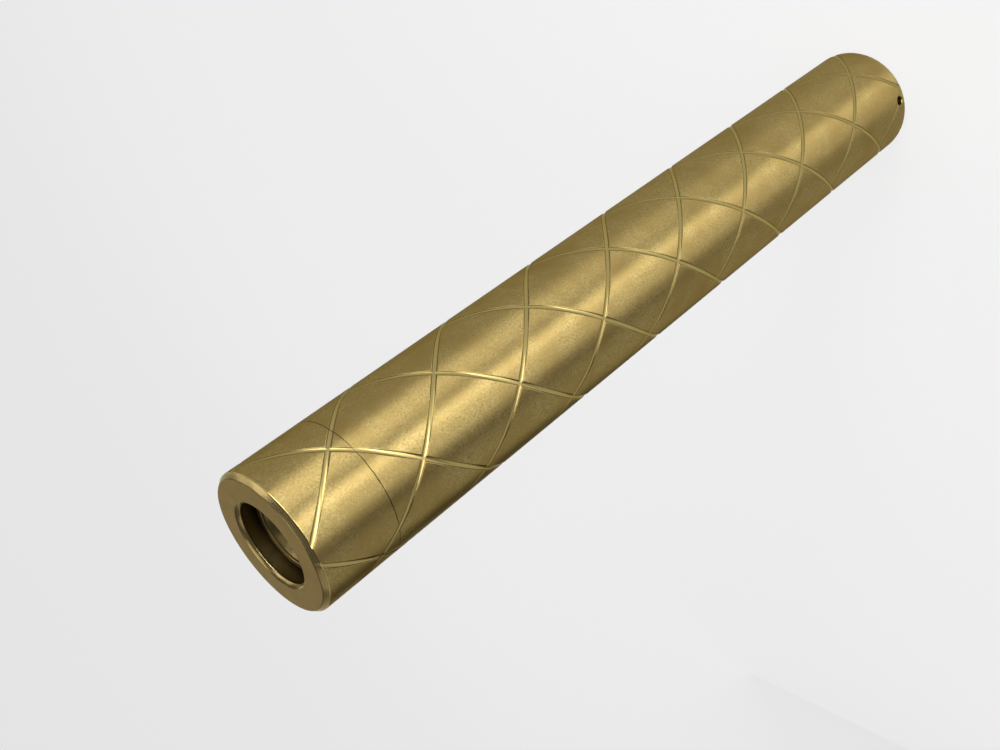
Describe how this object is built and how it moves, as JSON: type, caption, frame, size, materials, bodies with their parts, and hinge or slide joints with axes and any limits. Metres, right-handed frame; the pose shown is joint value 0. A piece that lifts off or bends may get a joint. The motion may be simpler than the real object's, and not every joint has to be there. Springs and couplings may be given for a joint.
{
  "type": "laser pointer",
  "caption": "Slim brass laser pointer with crossed helical grooves, a screw-on head with a recessed focus ring, a tail push-button and a lanyard hole.",
  "frame": {"origin": "middle of the tail rim, on the surface that the pointer stands on", "axes": "+Z along the barrel, out of the beam aperture; the lanyard hole faces -Y"},
  "size_m": [0.022, 0.022, 0.156],
  "materials": {
    "brass_shell": "satin",
    "brass_turned": "satin",
    "black_aluminium": "matte",
    "plain_aluminium": "satin",
    "steel": "satin",
    "board_laminate": "matte",
    "black_plastic": "matte",
    "ferrite": "matte",
    "white_plastic": "matte",
    "black_rubber": "matte",
    "cell_wrap": "gloss",
    "lens_glass": "polished",
    "red_insulation": "matte",
    "black_insulation": "matte"
  },
  "bodies": {
    "barrel": {"barrel": "brass_shell", "tail_ring": "brass_turned", "switch_board": "board_laminate", "switch_body": "black_plastic", "tail_spring": "steel", "battery_cell": "cell_wrap"},
    "head": {"head_shell": "brass_shell", "head_gasket": "black_rubber", "heat_sink": "plain_aluminium", "module_screws": "steel", "module_housing": "brass_turned", "laser_diode": "steel", "diode_retainer": "brass_turned", "driver_board": "board_laminate", "driver_ring": "brass_turned", "driver_contact": "brass_turned", "driver_inductor": "ferrite", "driver_chip": "black_plastic", "driver_capacitors": "ferrite", "lead_positive": "red_insulation", "lead_negative": "black_insulation"},
    "focus": {"focus_ring": "brass_turned", "focus_lens": "lens_glass", "lens_ring": "black_aluminium"},
    "button": {"tail_button": "brass_turned", "switch_plunger": "white_plastic"}
  },
  "joints": [
    {"name": "head_off", "type": "slide", "parent": "barrel", "child": "head", "axis": [0, 0, 1], "range_m": [0, 0.056]},
    {"name": "focus_turn", "type": "hinge", "parent": "head", "child": "focus", "pos_m": [0, 0, 0.15], "axis": [0, 0, 1], "range_deg": [-180, 180]},
    {"name": "button_press", "type": "slide", "parent": "barrel", "child": "button", "axis": [0, 0, 1], "range_m": [0, 0.0015], "stiffness_N_per_m": 800, "springref_m": -0.0015}
  ]
}
